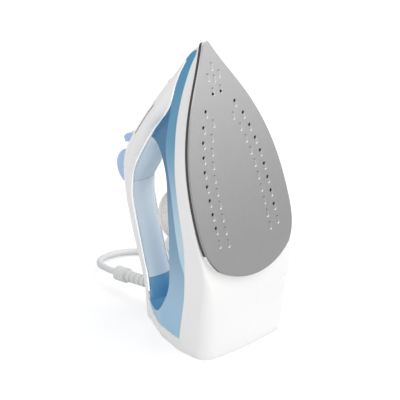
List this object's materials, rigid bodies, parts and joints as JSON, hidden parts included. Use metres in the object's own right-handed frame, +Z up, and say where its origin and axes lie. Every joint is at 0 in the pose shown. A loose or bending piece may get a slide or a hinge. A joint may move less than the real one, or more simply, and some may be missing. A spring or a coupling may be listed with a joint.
{
  "type": "steam iron",
  "caption": "Steam iron standing on its heel: perforated sole, translucent water tank, bridged handle with keys, steam lever, filling door, heat dial and coiled mains cord.",
  "frame": {"origin": "on the flat heel plate that the iron stands on, on the centre plane", "axes": "+Z up as the iron stands on its heel with the nose on top, -Y to the side that the sole faces, +X across"},
  "size_m": [0.2391, 0.2399, 0.291],
  "materials": {
    "white_plastic": "smooth glossy moulded plastic",
    "blue_tank": "translucent blue moulded plastic",
    "pale_grip": "satin grey-blue plastic",
    "key_blue": "smooth light blue plastic",
    "dial_cream": "satin cream plastic",
    "shield_grey": "dark grey heat resistant plastic",
    "sole_steel": "satin polished steel",
    "cast_alloy": "as cast aluminium",
    "steel": "plain steel",
    "brass": "turned brass",
    "inner_plastic": "plain moulded plastic",
    "hose": "clear silicone",
    "amber_lens": "clear amber plastic",
    "cord_white": "white flexible cord sheath",
    "wire": "insulated wire"
  },
  "bodies": {
    "iron_body": {"soleplate": "sole_steel", "heater_block": "cast_alloy", "heating_element": "steel", "chamber_cover": "cast_alloy", "steam_valve_seat": "brass", "thermostat": "steel", "thermal_fuse": "steel", "heat_shield": "shield_grey", "skirt": "white_plastic", "water_tank": "blue_tank", "grip_underside": "pale_grip", "handle_cover": "white_plastic", "rear_cover": "white_plastic", "spray_pump": "inner_plastic", "boost_pump": "inner_plastic", "spray_spring": "steel", "boost_spring": "steel", "pump_bracket": "inner_plastic", "door_pin": "steel", "fill_funnel": "inner_plastic", "indicator_lens": "amber_lens", "spray_nozzle": "shield_grey", "spray_hose": "hose", "boost_hose": "hose", "terminal_block": "inner_plastic", "cord_wires": "wire", "heater_leads": "wire", "heel_screws": "steel", "cord_guard": "cord_white", "mains_cord": "cord_white", "cord_coil": "cord_white", "plug_body": "cord_white", "plug_pins": "brass"},
    "dial": {"temperature_dial": "dial_cream", "dial_shaft": "inner_plastic"},
    "spray_key": {"spray_button": "key_blue", "spray_piston": "inner_plastic"},
    "boost_key": {"steam_boost_button": "key_blue", "boost_piston": "inner_plastic"},
    "lever": {"steam_lever": "key_blue"},
    "rod": {"steam_rod": "brass"},
    "door": {"fill_door": "white_plastic"}
  },
  "joints": [
    {"name": "dial_turn", "type": "hinge", "parent": "iron_body", "child": "dial", "pos_m": [0, 0.0227, 0.10949], "axis": [0, 0.9511, -0.309], "range_deg": [-135, 135]},
    {"name": "spray_press", "type": "slide", "parent": "iron_body", "child": "spray_key", "axis": [0, -0.9511, 0.309], "range_m": [0, 0.0045], "stiffness_N_per_m": 400, "springref_m": -0.002, "deforming": ["spray_spring"]},
    {"name": "boost_press", "type": "slide", "parent": "iron_body", "child": "boost_key", "axis": [0, -0.9511, 0.309], "range_m": [0, 0.0045], "stiffness_N_per_m": 400, "springref_m": -0.002, "deforming": ["boost_spring"]},
    {"name": "lever_slide", "type": "slide", "parent": "iron_body", "child": "lever", "axis": [1, 0, 0], "range_m": [-0.005, 0.005]},
    {"name": "rod_lift", "type": "slide", "parent": "iron_body", "child": "rod", "axis": [0, 0.9511, -0.309], "range_m": [-0.0015, 0.0015]},
    {"name": "door_hinge", "type": "hinge", "parent": "iron_body", "child": "door", "pos_m": [0, 0.07665, 0.18564], "axis": [-1, 0, 0], "range_deg": [0, 95]}
  ],
  "couplings": [
    {"joint": "rod_lift", "follows": "lever_slide", "ratio": 0.3}
  ]
}
